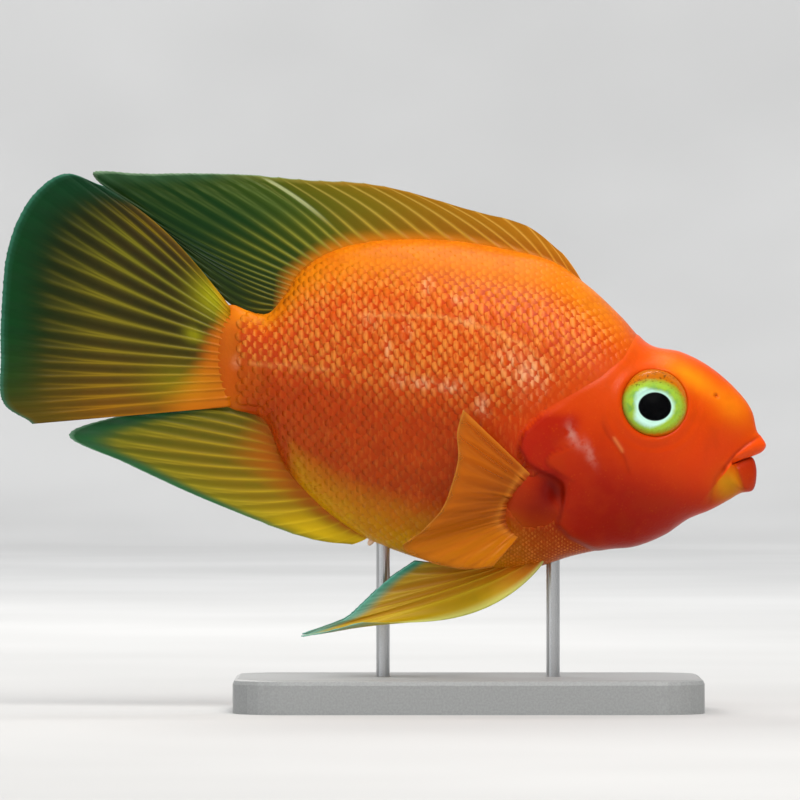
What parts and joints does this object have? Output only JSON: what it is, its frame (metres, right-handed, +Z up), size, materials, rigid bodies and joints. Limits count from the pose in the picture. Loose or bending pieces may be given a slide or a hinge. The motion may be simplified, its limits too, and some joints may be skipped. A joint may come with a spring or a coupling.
{
  "type": "ornamental fish model on display stand",
  "caption": "Still life-size model of a deep-bodied orange cichlid fish with raised fins, held level by short rods on a flat rounded base.",
  "frame": {"origin": "on the floor, under the middle of the fish's length and in its middle plane", "axes": "+X towards the fish's mouth, +Y towards the fish's left side, +Z up"},
  "size_m": [0.1804, 0.064, 0.127],
  "materials": {
    "flesh": "moist scaled skin, orange, yellower on the back and redder on the head",
    "eye": "clear glossy eye, black pupil in a pale and yellow-green ring",
    "fin": "amber membrane between paler rays, clear bluish margin",
    "stand_base": "plain grey satin",
    "stand_rod": "plain satin steel"
  },
  "bodies": {
    "root": {"head": "flesh", "lower_jaw": "flesh", "gill_cover_right": "flesh", "gill_cover_left": "flesh", "trunk": "flesh", "tail_stem": "flesh", "eye_right": "eye", "eye_left": "eye", "dorsal_fin": "fin", "anal_fin": "fin", "caudal_fin": "fin", "pectoral_fin_right": "fin", "pectoral_fin_left": "fin", "pelvic_fin_right": "fin", "pelvic_fin_left": "fin", "stand_base": "stand_base", "stand_rod_front": "stand_rod", "stand_rod_rear": "stand_rod"}
  },
  "joints": []
}
